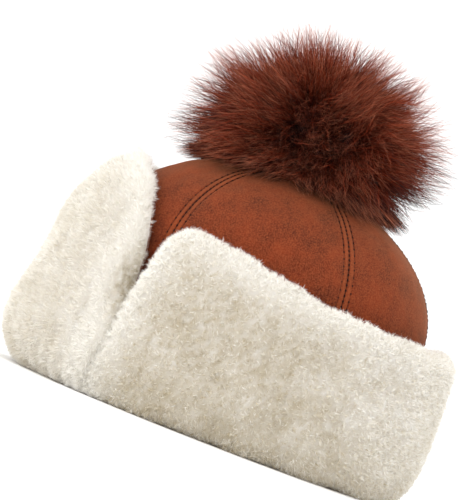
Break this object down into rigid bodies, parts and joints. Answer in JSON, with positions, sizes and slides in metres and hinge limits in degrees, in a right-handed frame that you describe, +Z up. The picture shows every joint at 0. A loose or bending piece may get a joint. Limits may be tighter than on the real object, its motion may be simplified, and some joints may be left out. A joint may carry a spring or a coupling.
{
  "type": "pom-pom hat",
  "caption": "Gored sheepskin hat with turned-up front and ear flaps of sheared wool and a long-haired fur pom-pom.",
  "frame": {"origin": "middle of the hat's footprint, on the surface that the turned folds of its flaps rest on", "axes": "+Z up through the crown's top, -Y towards the front flap over the wearer's forehead, +X towards the wearer's left"},
  "size_m": [0.2449, 0.2611, 0.2417],
  "materials": {
    "suede": "napped suede, matte",
    "wool": "sheared sheep's wool, matte",
    "fur": "long dyed fur, soft sheen",
    "post": "moulded, satin"
  },
  "bodies": {
    "root": {"crown_panel_1": "suede", "crown_panel_2": "suede", "crown_panel_3": "suede", "crown_panel_4": "suede", "crown_panel_5": "suede", "crown_panel_6": "suede", "front_flap": "wool", "ear_flap": "wool", "pom_pom": "fur", "pom_post": "post"}
  },
  "joints": []
}
